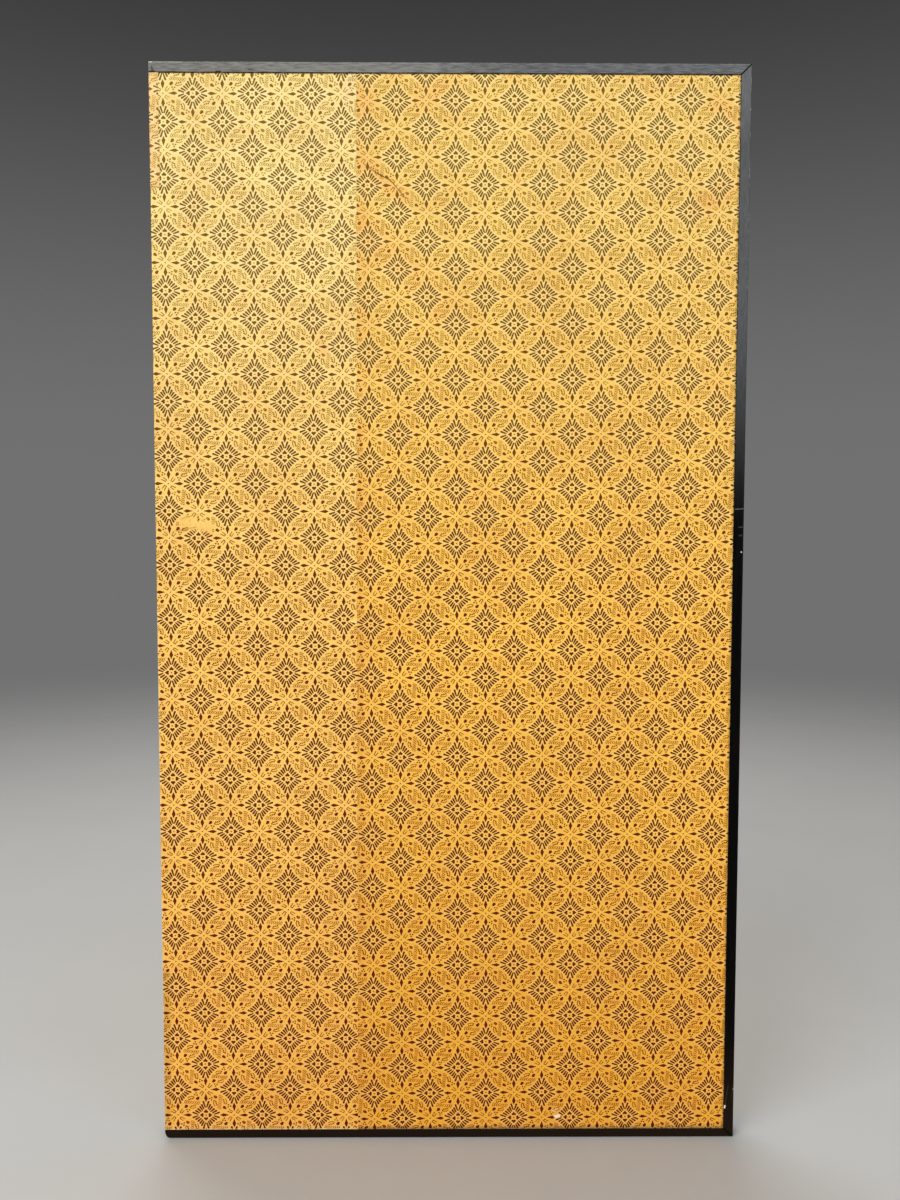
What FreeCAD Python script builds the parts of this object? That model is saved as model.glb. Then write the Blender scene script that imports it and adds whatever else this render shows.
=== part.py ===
import FreeCAD, Part
import os

# Two-panel folding screen (byobu), folded shut with its painted faces inward, in millimetres.
# X runs from the fold edge to the outer edge, Y through the thickness and Z up.
# The fold turns about the vertical line X = fold_x, Y = 0, midway between the two fronts.
# Each panel is drawn on the +Y side, where its depth is Y. The left panel is mirrored to -Y.

Vector = FreeCAD.Vector

# Whole screen
panel_width = 930.0
panel_height = 1710.0

# Lacquered outer frame, on three sides of each panel
frame_depth = 20.0
top_rail_face = 16.5
bottom_rail_face = 14.0
side_stile_face = 16.5
frame_proud = 1.3
outer_arris_radius = 2.4
inner_arris_radius = 0.8
top_rail_end_radius = 1.5
bottom_rail_end_radius = 8.0
mitre_tongue_thickness = 5.0
mitre_tongue_cover = 4.5

# Nails that hold the frame to the core
nail_side = 3.0
nail_in_frame = 7.0
nail_in_core = 12.0
cells_per_side_nail_count = 2

# Papers
lining_thickness = 0.5
paper_thickness = 0.3
brocade_thickness = 0.4
fillet_thickness = 0.6
paper_step = 0.6
seam_from_fold = 318.0
seam_overlap = 7.0
brocade_width = 34.0
fillet_width = 5.0

# Softwood core
core_stile_width = 24.0
core_rail_width = 24.0
bar_width = 10.0
upright_count = 5
crossbar_count = 11
tenon_thickness = 5.4
stub_tenon_length = 8.0
core_peg_side = 4.5
core_peg_from_end = 9.0
corner_plate_leg = 92.0
corner_plate_thickness = 5.0

# Paper hinge bands, counted from the top. Odd bands run from the left panel's back to the right
# panel's front, and even bands from the right panel's back to the left panel's front.
band_count = 7
end_band_height = 174.0
band_thickness = 0.4
flange_thickness = 0.3
flange_width = 15.0
band_slit = 0.6

# Fits
front_clearance = 0.3
fold_clearance = 0.3
pivot_clearance = 0.15
joint_clearance = 0.1
cut_overrun = 2.0

# Depths of the layers, measured from the plane between the two fronts
frame_front = front_clearance
frame_back = frame_front + frame_depth
frame_middle = (frame_front + frame_back) / 2
front_surface = frame_front + frame_proud
front_lining_outside = front_surface + paper_thickness
core_front = front_lining_outside + lining_thickness
back_surface = frame_back - frame_proud
back_lining_outside = back_surface - paper_thickness
core_back = back_lining_outside - lining_thickness
core_middle = (core_front + core_back) / 2

# Places across the panel, with the closed screen centred on X = 0
fold_x = -(panel_width + fold_clearance) / 2
outer_x = fold_x + panel_width
band_x = fold_x + fold_clearance
edge_x = band_x + band_thickness
core_fold_x = edge_x + lining_thickness
core_outer_x = outer_x - side_stile_face
seam_x = fold_x + seam_from_fold
core_inner_left = core_fold_x + core_stile_width
core_inner_right = core_outer_x - core_stile_width

# Places up the panel
core_bottom = bottom_rail_face
core_top = panel_height - top_rail_face
core_inner_bottom = core_bottom + core_rail_width
core_inner_top = core_top - core_rail_width


def block(x, depth, z):
    size = (x[1] - x[0], depth[1] - depth[0], z[1] - z[0])
    return Part.makeBox(*size, Vector(x[0], depth[0], z[0]))


def centred(middle, width):
    return (middle - width / 2, middle + width / 2)


def widened(span, margin):
    return (span[0] - margin, span[1] + margin)


def joined(first, others):
    return first.fuse(others).removeSplitter() if others else first


def without(solid, tools):
    return solid.cut(tools) if tools else solid


def overlap(first, second):
    return (max(first[0], second[0]), min(first[1], second[1]))


# A closed flat face from (u, v, radius) corners; corners with a radius are right angles.
def rounded_face(corners, place):
    edges = []
    ends = []
    for index, (u, v, radius) in enumerate(corners):
        corner = Vector(u, v, 0)
        if not radius:
            ends.append((corner, corner))
            continue
        before = Vector(*corners[index - 1][:2], 0) - corner
        after = Vector(*corners[(index + 1) % len(corners)][:2], 0) - corner
        before.normalize()
        after.normalize()
        start = corner + before * radius
        end = corner + after * radius
        inward = before + after
        inward.normalize()
        centre = corner + (before + after) * radius
        middle = centre - inward * radius
        ends.append((start, end))
        edges.append(Part.Arc(place(start), place(middle), place(end)).toShape())
    for index, (start, _) in enumerate(ends):
        leaving = ends[index - 1][1]
        edges.append(Part.LineSegment(place(leaving), place(start)).toShape())
    return Part.Face(Part.Wire(Part.__sortEdges__(edges)))


# A frame member's section: u inward from the outer face, v the depth.
def frame_section(face, place):
    corners = [
        (0, frame_front, outer_arris_radius),
        (0, frame_back, outer_arris_radius),
        (face, frame_back, inner_arris_radius),
        (face, frame_front, inner_arris_radius),
    ]
    return rounded_face(corners, place)


# The outline of a frame member seen from the front, through the whole depth.
def plan_prism(corners):
    face = rounded_face(corners, lambda p: Vector(p.x, frame_front - cut_overrun, p.y))
    return face.extrude(Vector(0, frame_depth + 2 * cut_overrun, 0))


# Middles of the cells that evenly spaced bars leave between two ends.
def cell_middles(start, end, bars):
    cell = (end - start - bars * bar_width) / (bars + 1)
    return [start + cell / 2 + n * (cell + bar_width) for n in range(bars + 1)]


def bar_middles(start, end, bars):
    cells = cell_middles(start, end, bars)
    return [(low + high) / 2 for low, high in zip(cells, cells[1:])]


# Nails as (x, z) spans: one in each cell along the rails, and in every second cell up the stile.
def nail_spans(clearance):
    side = nail_side + 2 * clearance
    inward = nail_in_core + clearance
    outward = nail_in_frame + clearance
    spans = []
    for x in cell_middles(core_inner_left, core_inner_right, upright_count):
        spans.append((centred(x, side), (core_bottom - outward, core_bottom + inward)))
        spans.append((centred(x, side), (core_top - inward, core_top + outward)))
    heights = cell_middles(core_inner_bottom, core_inner_top, crossbar_count)
    for z in heights[::cells_per_side_nail_count]:
        spans.append(((core_outer_x - inward, core_outer_x + outward), centred(z, side)))
    return spans


def nails(clearance=0):
    depth = centred(core_middle, nail_side + 2 * clearance)
    return [block(x, depth, z) for x, z in nail_spans(clearance)]


# The stub that crosses each mitre, from the rail into the side stile.
def mitre_tongue(low_z, high_z, clearance=0):
    x = (core_outer_x - clearance, outer_x - mitre_tongue_cover + clearance)
    depth = centred(frame_middle, mitre_tongue_thickness + 2 * clearance)
    return block(x, depth, (low_z, high_z))


def top_tongue(clearance=0):
    return mitre_tongue(core_top - clearance, panel_height - mitre_tongue_cover + clearance, clearance)


def bottom_tongue(clearance=0):
    return mitre_tongue(mitre_tongue_cover - clearance, core_bottom + clearance, clearance)


def top_rail():
    section = frame_section(top_rail_face, lambda p: Vector(band_x, p.y, panel_height - p.x))
    outline = plan_prism([
        (band_x, panel_height, top_rail_end_radius),
        (outer_x, panel_height, 0),
        (core_outer_x, core_top, 0),
        (band_x, core_top, 0),
    ])
    rail = section.extrude(Vector(outer_x - band_x, 0, 0)).common(outline)
    return without(joined(rail, [top_tongue()]), nails(joint_clearance))


def bottom_rail():
    section = frame_section(bottom_rail_face, lambda p: Vector(band_x, p.y, p.x))
    outline = plan_prism([
        (band_x, core_bottom, 0),
        (core_outer_x, core_bottom, 0),
        (outer_x, 0, 0),
        (band_x, 0, bottom_rail_end_radius),
    ])
    rail = section.extrude(Vector(outer_x - band_x, 0, 0)).common(outline)
    return without(joined(rail, [bottom_tongue()]), nails(joint_clearance))


def side_stile():
    section = frame_section(side_stile_face, lambda p: Vector(outer_x - p.x, p.y, 0))
    outline = plan_prism([
        (outer_x, 0, 0),
        (outer_x, panel_height, 0),
        (core_outer_x, core_top, 0),
        (core_outer_x, core_bottom, 0),
    ])
    stile = section.extrude(Vector(0, 0, panel_height)).common(outline)
    slots = [top_tongue(joint_clearance), bottom_tongue(joint_clearance)]
    return without(stile, slots + nails(joint_clearance))


# The core's rails run through the slotted ends of its stiles as tongues.
def rail_tongue(z, clearance=0):
    x = (core_fold_x - clearance, core_outer_x + clearance)
    return block(x, centred(core_middle, tenon_thickness + 2 * clearance), z)


def core_pegs(clearance=0):
    side = core_peg_side + 2 * clearance
    pegs = []
    for x in (core_inner_left - core_stile_width / 2, core_inner_right + core_stile_width / 2):
        for z in (core_bottom + core_peg_from_end, core_top - core_peg_from_end):
            pegs.append(block(centred(x, side), (core_front, core_back), centred(z, side)))
    return pegs


def core_rail(z):
    body = block((core_inner_left, core_inner_right), (core_front, core_back), z)
    rail = joined(body, [rail_tongue(z)])
    fixings = core_pegs(joint_clearance) + nails(joint_clearance)
    return without(rail, upright_tenons(joint_clearance) + fixings)


def core_stile(x):
    body = block(x, (core_front, core_back), (core_bottom, core_top))
    low = (core_bottom - cut_overrun, core_inner_bottom + joint_clearance)
    high = (core_inner_top - joint_clearance, core_top + cut_overrun)
    slots = [rail_tongue(z, joint_clearance) for z in (low, high)]
    fixings = core_pegs(joint_clearance) + nails(joint_clearance)
    return without(body, slots + crossbar_tenons(joint_clearance) + fixings)


def upright_middles():
    return bar_middles(core_inner_left, core_inner_right, upright_count)


def crossbar_middles():
    return bar_middles(core_inner_bottom, core_inner_top, crossbar_count)


def stub_reach(start, end, clearance):
    return widened((start, end), stub_tenon_length + clearance)


def upright_tenons(clearance=0):
    reach = stub_reach(core_inner_bottom, core_inner_top, clearance)
    depth = centred(core_middle, tenon_thickness + 2 * clearance)
    width = bar_width + 2 * clearance
    return [block(centred(x, width), depth, reach) for x in upright_middles()]


def crossbar_tenons(clearance=0):
    reach = stub_reach(core_inner_left, core_inner_right, clearance)
    depth = centred(core_middle, tenon_thickness + 2 * clearance)
    width = bar_width + 2 * clearance
    return [block(reach, depth, centred(z, width)) for z in crossbar_middles()]


# Uprights are halved from the front and crossbars from the back, so their faces finish level.
def lattice_uprights():
    notch_depth = (core_front - cut_overrun, core_middle)
    bars = []
    for x, tenon in zip(upright_middles(), upright_tenons()):
        span = centred(x, bar_width)
        bar = block(span, (core_front, core_back), (core_inner_bottom, core_inner_top))
        notches = [
            block(widened(span, cut_overrun), notch_depth, centred(z, bar_width + 2 * joint_clearance))
            for z in crossbar_middles()
        ]
        bars.append(without(joined(bar, [tenon]), notches))
    return bars


def lattice_crossbars():
    notch_depth = (core_middle, core_back + cut_overrun)
    bars = []
    for z, tenon in zip(crossbar_middles(), crossbar_tenons()):
        span = centred(z, bar_width)
        bar = block((core_inner_left, core_inner_right), (core_front, core_back), span)
        notches = [
            block(centred(x, bar_width + 2 * joint_clearance), notch_depth, widened(span, cut_overrun))
            for x in upright_middles()
        ]
        bars.append(without(joined(bar, [tenon]), notches))
    return bars


def corner_plates():
    depth = centred(core_middle, corner_plate_thickness)
    plates = []
    for x, across in ((core_inner_left, 1), (core_inner_right, -1)):
        for z, up in ((core_inner_bottom, 1), (core_inner_top, -1)):
            corners = [
                Vector(x, depth[0], z),
                Vector(x + across * corner_plate_leg, depth[0], z),
                Vector(x, depth[0], z + up * corner_plate_leg),
            ]
            face = Part.Face(Part.makePolygon(corners + corners[:1]))
            plates.append(face.extrude(Vector(0, depth[1] - depth[0], 0)))
    return plates


# Heights of the hinge bands, from the top one down.
def band_spans():
    middle_height = (core_top - core_bottom - 2 * end_band_height) / (band_count - 2)
    heights = [end_band_height] + [middle_height] * (band_count - 2) + [end_band_height]
    spans = []
    top = core_top
    for height in heights:
        spans.append((top - height + band_slit / 2, top - band_slit / 2))
        top -= height
    return spans


def bands_on_back(panel):
    return [n for n in range(1, band_count + 1) if (n % 2 == 1) == (panel == "left")]


# The left panel's topmost back flange is a repair, pasted over the back paper.
def is_patch(panel, number):
    return panel == "left" and number == 1


# The flanges that lie under the back paper or under the front papers.
def hidden_flanges(panel, depth, on_back):
    behind = bands_on_back(panel)
    flanges = []
    for number, z in enumerate(band_spans(), start=1):
        over = on_back and is_patch(panel, number)
        if (number in behind) == on_back and not over:
            flanges.append(((band_x, fold_x + flange_width), depth, z))
    return flanges


# A paper laid over flanges: it is hollowed for each flange and lifted by its thickness.
def draped(x, surface, thickness, outward, z, flanges):
    inside = surface - outward * thickness
    sheet = block(x, sorted((inside, surface)), z)
    for flange_x, flange_depth, flange_z in flanges:
        lift_x = overlap(x, (edge_x, flange_x[1] + paper_step))
        lift_z = overlap(z, widened(flange_z, paper_step))
        if lift_x[0] >= lift_x[1] or lift_z[0] >= lift_z[1]:
            continue
        raised = sorted((surface, surface + outward * flange_thickness))
        sheet = joined(sheet, [block(lift_x, raised, lift_z)])
        sheet = sheet.cut(block(flange_x, flange_depth, flange_z))
    return sheet


def back_flanges(panel):
    return hidden_flanges(panel, (back_lining_outside, back_lining_outside + flange_thickness), True)


def front_flanges(panel):
    return hidden_flanges(panel, (front_lining_outside - flange_thickness, front_lining_outside), False)


# The narrow strip lies over the wide sheet's edge at the seam.
def back_paper_narrow(panel):
    x = (edge_x, seam_x - seam_overlap)
    height = (core_bottom, core_top)
    sheet = draped(x, back_surface, paper_thickness, 1, height, back_flanges(panel))
    lap = (seam_x - seam_overlap - paper_step, seam_x)
    return joined(sheet, [block(lap, (back_surface, back_surface + paper_thickness), height)])


def back_paper_wide():
    x = (seam_x - seam_overlap, core_outer_x)
    return block(x, (back_lining_outside, back_surface), (core_bottom, core_top))


# The front: a gold ground inside a brocade border, with a thin fillet between them.
fillet_x = core_outer_x - brocade_width - fillet_width
ground_bottom = core_bottom + brocade_width + fillet_width
ground_top = core_top - brocade_width - fillet_width


def front_sheet(panel, x, z, thickness):
    surface = front_lining_outside - thickness
    return draped(x, surface, thickness, -1, z, front_flanges(panel))


def gold_ground(panel):
    return front_sheet(panel, (edge_x, fillet_x), (ground_bottom, ground_top), paper_thickness)


def brocade(panel, x, z):
    return front_sheet(panel, x, z, brocade_thickness)


def border_fillets(panel):
    low_z = (ground_bottom - fillet_width, ground_bottom)
    high_z = (ground_top, ground_top + fillet_width)
    across = [front_sheet(panel, (edge_x, fillet_x), z, fillet_thickness) for z in (low_z, high_z)]
    depth = (front_lining_outside - fillet_thickness, front_lining_outside)
    side = block((fillet_x, fillet_x + fillet_width), depth, (low_z[0], high_z[1]))
    return across + [side]


# A band's leaf on the panel whose back it starts from: back flange and fold edge.
def long_leaf(z, flange_depth):
    flange = block((band_x, fold_x + flange_width), flange_depth, z)
    edge = block((band_x, edge_x), (pivot_clearance, flange_depth[1]), z)
    return joined(flange, [edge])


# A band's leaf on the other panel: front flange and a lip that reaches the fold line.
def short_leaf(z):
    flange_depth = (front_lining_outside - flange_thickness, front_lining_outside)
    flange = block((band_x, fold_x + flange_width), flange_depth, z)
    lip = block((band_x, edge_x), (pivot_clearance, front_lining_outside), z)
    return joined(flange, [lip])


def hinge_leaves(panel):
    leaves = {}
    for number, z in enumerate(band_spans(), start=1):
        name = f"hinge_band_{number}_{panel}_leaf"
        if number not in bands_on_back(panel):
            leaves[name] = [short_leaf(z)]
            continue
        inside = back_surface if is_patch(panel, number) else back_lining_outside
        leaves[name] = [long_leaf(z, (inside, inside + flange_thickness))]
    return leaves


def panel_pieces(panel):
    core_height = (core_bottom, core_top)
    lining_depth = (front_lining_outside, back_lining_outside)
    face_x = (core_fold_x, core_outer_x)
    lining_x = (edge_x, core_outer_x)
    border_x = (fillet_x + fillet_width, core_outer_x)
    inside_borders = (core_bottom + brocade_width, core_top - brocade_width)
    pieces = {
        "top_rail": [top_rail()],
        "bottom_rail": [bottom_rail()],
        "side_stile": [side_stile()],
        "frame_nails": nails(),
        "core_fold_stile": [core_stile((core_fold_x, core_inner_left))],
        "core_outer_stile": [core_stile((core_inner_right, core_outer_x))],
        "core_top_rail": [core_rail((core_inner_top, core_top))],
        "core_bottom_rail": [core_rail((core_bottom, core_inner_bottom))],
        "core_pegs": core_pegs(),
        "lattice_uprights": lattice_uprights(),
        "lattice_crossbars": lattice_crossbars(),
        "corner_plates": corner_plates(),
        "front_lining": [block(face_x, (front_lining_outside, core_front), core_height)],
        "back_lining": [block(face_x, (core_back, back_lining_outside), core_height)],
        "fold_edge_lining": [block((edge_x, core_fold_x), lining_depth, core_height)],
        "back_paper_narrow": [back_paper_narrow(panel)],
        "back_paper_wide": [back_paper_wide()],
        "gold_ground": [gold_ground(panel)],
        "brocade_top": [brocade(panel, lining_x, (core_top - brocade_width, core_top))],
        "brocade_bottom": [brocade(panel, lining_x, (core_bottom, core_bottom + brocade_width))],
        "brocade_outer": [brocade(panel, border_x, inside_borders)],
        "border_fillets": border_fillets(panel),
    }
    named = {f"{panel}_{name}": solids for name, solids in pieces.items()}
    return {**named, **hinge_leaves(panel)}


def shape_of(solids, panel):
    if panel == "left":
        solids = [solid.mirror(Vector(0, 0, 0), Vector(0, 1, 0)) for solid in solids]
    return solids[0] if len(solids) == 1 else Part.makeCompound(solids)


os.makedirs("parts", exist_ok=True)
for panel in ("left", "right"):
    for name, solids in panel_pieces(panel).items():
        shape = shape_of(solids, panel)
        shape.exportStep(f"parts/{name}.step")
        state = "valid" if shape.isValid() else "not valid"
        print(name, len(shape.Solids), "solids", round(shape.Volume), "mm3", state)
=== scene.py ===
import math
import bmesh
import bpy
import numpy as np
from mathutils import Matrix


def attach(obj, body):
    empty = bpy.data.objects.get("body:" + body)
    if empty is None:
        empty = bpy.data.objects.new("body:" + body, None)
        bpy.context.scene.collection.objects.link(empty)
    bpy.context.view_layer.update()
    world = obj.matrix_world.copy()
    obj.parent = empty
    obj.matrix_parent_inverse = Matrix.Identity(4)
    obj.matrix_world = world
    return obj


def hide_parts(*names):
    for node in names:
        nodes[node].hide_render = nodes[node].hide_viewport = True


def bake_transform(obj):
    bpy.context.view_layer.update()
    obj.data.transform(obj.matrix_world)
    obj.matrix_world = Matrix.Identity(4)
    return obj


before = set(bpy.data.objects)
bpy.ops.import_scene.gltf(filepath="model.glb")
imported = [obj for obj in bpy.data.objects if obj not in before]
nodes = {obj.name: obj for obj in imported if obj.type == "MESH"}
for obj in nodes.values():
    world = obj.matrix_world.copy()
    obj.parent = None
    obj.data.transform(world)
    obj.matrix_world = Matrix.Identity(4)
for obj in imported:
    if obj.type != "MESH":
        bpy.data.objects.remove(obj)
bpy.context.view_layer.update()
print("screen loaded,", len(nodes), "nodes")

# Places shared by all pieces, in metres: x across a panel from its middle, z up from the floor
screen = {
    "foldX": -0.46515,
    "bandX": -0.46485,
    "edgeX": -0.46445,
    "outerX": 0.46485,
    "stileInnerX": 0.44835,
    "height": 1.71,
    "paperBottom": 0.014,
    "paperTop": 1.6935,
    "sides": {"left": -1.0, "right": 1.0},  # which way each panel's back faces along y
}

# Camera, fitted to the four corners of the panel

view = {
    "place": (-0.0112, -1.6035, 0.9719),
    "pitch": -3.2815,
    "turn": -0.392,
    "roll": 0.0663,
    "lens": 30.0,
    "sensor": 36.0,
}


def makeCamera():
    data = bpy.data.cameras.new("camera")
    data.lens = view["lens"]
    data.sensor_width = view["sensor"]
    camera = bpy.data.objects.new("camera", data)
    bpy.context.scene.collection.objects.link(camera)
    turn = Matrix.Rotation(math.radians(view["turn"]), 4, "Z")
    pitch = Matrix.Rotation(math.radians(90 + view["pitch"]), 4, "X")
    roll = Matrix.Rotation(math.radians(view["roll"]), 4, "Z")
    camera.matrix_world = Matrix.Translation(view["place"]) @ turn @ pitch @ roll
    bpy.context.scene.camera = camera


makeCamera()
bpy.context.scene.view_settings.view_transform = "Standard"
print("camera placed")


# Small helpers for node trees

class Value:
    # a node's output that can be added, multiplied and so on, so that a formula reads as one
    def __init__(self, socket):
        self.socket = socket
        self.tree = socket.id_data

    def __add__(self, other):
        return maths("ADD", self, other)

    def __sub__(self, other):
        return maths("SUBTRACT", self, other)

    def __rsub__(self, other):
        return maths("SUBTRACT", other, self)

    def __mul__(self, other):
        return maths("MULTIPLY", self, other)

    def __truediv__(self, other):
        return maths("DIVIDE", self, other)

    def __abs__(self):
        return maths("ABSOLUTE", self)


def wire(value, socket):
    if isinstance(value, Value):
        value.tree.links.new(value.socket, socket)
    else:
        socket.default_value = value


def addNode(kind, inputs, **settings):
    # the node goes into the tree of its first wired input
    tree = next(value.tree for value in inputs.values() if isinstance(value, Value))
    node = tree.nodes.new(kind)
    for label, setting in settings.items():
        setattr(node, label, setting)
    for label, value in inputs.items():
        wire(value, node.inputs[label])
    return node


def maths(operation, *values):
    return Value(addNode("ShaderNodeMath", dict(enumerate(values)), operation=operation).outputs[0])


def vectorMaths(operation, *values, scale=None):
    inputs = dict(enumerate(values))
    if scale is not None:
        inputs["Scale"] = scale
    node = addNode("ShaderNodeVectorMath", inputs, operation=operation)
    isNumber = operation in ("DOT_PRODUCT", "LENGTH", "DISTANCE")
    return Value(node.outputs["Value" if isNumber else "Vector"])


def least(first, *others):
    for other in others:
        first = maths("MINIMUM", first, other)
    return first


def most(first, *others):
    for other in others:
        first = maths("MAXIMUM", first, other)
    return first


def clamped(value):
    value.socket.node.use_clamp = True
    return value


def distance(first, second):
    return vectorMaths("DISTANCE", first, second)


def smooth(value, low, high, start=0.0, end=1.0):
    # a soft step from start to end while the value goes from low to high
    inputs = {"Value": value, "From Min": low, "From Max": high, "To Min": start, "To Max": end}
    return Value(addNode("ShaderNodeMapRange", inputs, interpolation_type="SMOOTHSTEP").outputs["Result"])


def colour(tone):
    # screen values from 0 to 255, turned into linear light
    share = np.array(tone) / 255.0
    linear = np.where(share <= 0.04045, share / 12.92, ((share + 0.055) / 1.055) ** 2.4)
    return (*linear.tolist(), 1.0)


def mixed(share, first, second, how="MIX"):
    # each colour is a node's output or a tone in screen values
    first, second = (tone if isinstance(tone, Value) else colour(tone) for tone in (first, second))
    inputs = {0: share, 6: first, 7: second}
    return Value(addNode("ShaderNodeMix", inputs, data_type="RGBA", blend_type=how).outputs[2])


def noise(place, scale, detail=3.0, roughness=0.5, stretch=None, output="Fac"):
    if stretch:
        place = vectorMaths("MULTIPLY", place, stretch)
    inputs = {"Scale": scale, "Detail": detail, "Roughness": roughness, "Vector": place}
    return Value(addNode("ShaderNodeTexNoise", inputs).outputs[output])


def parts(vector):
    return [Value(socket) for socket in addNode("ShaderNodeSeparateXYZ", {0: vector}).outputs]


def joined(x, y, z=0.0):
    return Value(addNode("ShaderNodeCombineXYZ", {0: x, 1: y, 2: z}).outputs[0])


def openGroup(name, **inputs):
    # an input with no value is a vector, and all else are numbers
    group = bpy.data.node_groups.new(name, "ShaderNodeTree")
    for label, value in inputs.items():
        kind = "NodeSocketVector" if value is None else "NodeSocketFloat"
        socket = group.interface.new_socket(label, in_out="INPUT", socket_type=kind)
        if value is not None:
            socket.default_value = value
    entry = group.nodes.new("NodeGroupInput")
    return [Value(entry.outputs[label]) for label in inputs]


def closeGroup(**outputs):
    # the group that the output values belong to
    group = next(iter(outputs.values())).tree
    leave = group.nodes.new("NodeGroupOutput")
    for label, value in outputs.items():
        group.interface.new_socket(label, in_out="OUTPUT", socket_type="NodeSocketFloat")
        wire(value, leave.inputs[label])
    return group


def useGroup(group, **inputs):
    outputs = addNode("ShaderNodeGroup", inputs, node_tree=group).outputs
    return {socket.name: Value(socket) for socket in outputs}


def newMaterial(name, roughness, specular=0.5):
    material = bpy.data.materials.new(name)
    material.use_nodes = True
    shader = material.node_tree.nodes["Principled BSDF"].inputs
    shader["Roughness"].default_value = roughness
    shader["Specular IOR Level"].default_value = specular
    place = Value(material.node_tree.nodes.new("ShaderNodeTexCoord").outputs["Object"])
    return material, shader, place


def flatPlace(material):
    # places on a strip of paper laid flat, from its UV map
    x, z, _ = parts(Value(material.node_tree.nodes.new("ShaderNodeUVMap").outputs[0]))
    return joined(x, 0.0, z)


def attributeValue(material, name):
    node = material.node_tree.nodes.new("ShaderNodeAttribute")
    node.attribute_name = name
    return Value(node.outputs["Fac"])


def finished(material, tone, height, depth, strength):
    # tone and relief of the whole surface
    shader = material.node_tree.nodes["Principled BSDF"].inputs
    bump = addNode("ShaderNodeBump", {"Strength": strength, "Distance": depth, "Height": height})
    wire(tone, shader["Base Color"])
    wire(Value(bump.outputs["Normal"]), shader["Normal"])
    return material


# Shared effects

def makeStroke():
    # distance from a point to the line between two ends, less a flare that grows along it
    place, start, end, flare = openGroup("brushStroke", Place=None, Start=None, End=None, Flare=0.0)
    run = vectorMaths("SUBTRACT", end, start)
    reach = vectorMaths("SUBTRACT", place, start)
    square = vectorMaths("DOT_PRODUCT", run, run)
    along = clamped(vectorMaths("DOT_PRODUCT", reach, run) / square)
    away = distance(reach, vectorMaths("SCALE", run, scale=along))
    return closeGroup(Distance=away - along * flare)


def makeMark():
    # a soft-edged stroke of given half-width, broken up by noise
    place, start, end, width, soft, ragged = openGroup(
        "wornMark", Place=None, Start=None, End=None, Width=0.005, Soft=0.004, Ragged=0.5
    )
    away = useGroup(brushStroke, Place=place, Start=start, End=end)["Distance"]
    outside = width + soft
    grain = noise(place, 160, 4, 0.65) - 0.5
    return closeGroup(Mask=smooth(grain * ragged * outside * 4.0 + away, outside, width))


def makePaperFibres():
    # long soft fibres in two directions, and a cloudy unevenness
    place, = openGroup("paperFibres", Place=None)
    lying = noise(place, 900, 3, 0.6, (1.0, 1.0, 0.16))
    standing = noise(place, 1000, 3, 0.6, (0.15, 1.0, 1.0))
    both = smooth(lying, 0.4, 0.72) + smooth(standing, 0.4, 0.72)
    height = both * 0.3 + noise(place, 420, 3, 0.6)
    return closeGroup(Fibres=both * 0.5, Clouds=noise(place, 9, 5, 0.6), Height=height)


brushStroke = makeStroke()
wornMark = makeMark()
paperFibres = makePaperFibres()


def markMask(place, mark, depth):
    # the mask of one row of a table of marks, on a surface at a depth behind the fold plane
    x0, z0, x1, z1, width, soft = (value / 1000 for value in mark[:6])
    ends = {"Start": (x0, -depth, z0), "End": (x1, -depth, z1)}
    return useGroup(wornMark, Place=place, Width=width, Soft=soft, Ragged=mark[-1], **ends)["Mask"]


# The printed ring pattern, in half repeats: a flower at each even place, a star at each odd one

ringPrint = {
    "edge": 0.01,
    "strokes": [  # both ends of the six strokes in a quarter of the flower
        (0.026, 0.315, 0.093, 0.52),
        (0.081, 0.25, 0.151, 0.4),
        (0.126, 0.195, 0.211, 0.318),
        (0.174, 0.137, 0.283, 0.24),
        (0.236, 0.088, 0.361, 0.168),
        (0.296, 0.034, 0.456, 0.098),
    ],
    "strokeInner": 0.021,
    "strokeFlare": 0.012,
    "heartTip": 0.231,
    "heartNotch": 0.128,
    "lobe": ((0.128, 0.036, 0), 0.041),
    "kiteAcross": (0.5, 0.615, 0.82),
    "kiteUp": (0.505, 0.655, 0.845),
    "kiteHalf": 0.063,
    "curls": [  # a leaf's outline beside each star, and the sides of a small boat
        (0.86, 0.932, 0.922, 0.893),
        (0.922, 0.893, 0.848, 0.765),
        (0.075, 0.105, 0.138, 0.066),
        (0.138, 0.066, 0.216, 0.172),
        (0.437, 0.3, 0.462, 0.352),
    ],
    "dots": [
        (0.352, 0.13, 0), (0.318, 0.215, 0), (0.402, 0.203, 0),
        (0.475, 0.352, 0), (0.54, 0.362, 0), (0.604, 0.385, 0),
    ],
    "dotRadius": 0.015,
    "seeds": [((0.7, 0.646, 0), 0.055), ((0.73, 0.684, 0), 0.04)],  # round fruit in a lens
    "boat": ((0.51, 0.485, 0), 0.215),
    "boatSpan": (0.53, 0.105, 0.4),  # middle, half its length, and how high it reaches
    "ribbonHalf": (0.28, 0.058),
    "hatch": 0.078,
    "hatchInk": (0.03, 0.64),
    "lineInk": 0.74,
    "centreInk": 0.5,
    "starInk": 0.6,
}


def nearestLine(place, lines, flare=0.0):
    away = []
    for x0, y0, x1, y1 in lines:
        ends = {"Start": (x0, y0, 0), "End": (x1, y1, 0)}
        away.append(useGroup(brushStroke, Place=place, Flare=flare, **ends)["Distance"])
    return least(*away)


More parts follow.
